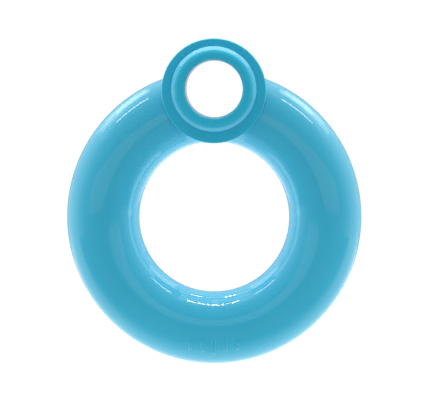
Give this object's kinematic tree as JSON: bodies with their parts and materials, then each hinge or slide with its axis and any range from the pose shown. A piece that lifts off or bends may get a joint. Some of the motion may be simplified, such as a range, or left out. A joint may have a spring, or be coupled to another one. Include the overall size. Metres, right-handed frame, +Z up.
{
  "type": "juggling ring",
  "caption": "Thick hollow ring of glossy plastic for juggling and hand play, with a flanged round eye on its rim; moulded shells held by a snap-together eyelet.",
  "frame": {"origin": "centre of the eye's bore, on the parting plane", "axes": "+Z up from the ring to the eye, +Y along the eye's bore towards the back, so the marked front faces -Y"},
  "size_m": [0.15, 0.0494, 0.1654],
  "materials": {
    "ring_plastic": "smooth sky-blue injection-moulded plastic, high gloss",
    "eyelet_plastic": "smooth sky-blue injection-moulded plastic, high gloss"
  },
  "bodies": {
    "root": {"front_ring_shell": "ring_plastic", "rear_ring_shell": "ring_plastic", "front_eyelet": "eyelet_plastic", "rear_eyelet": "eyelet_plastic"}
  },
  "joints": []
}
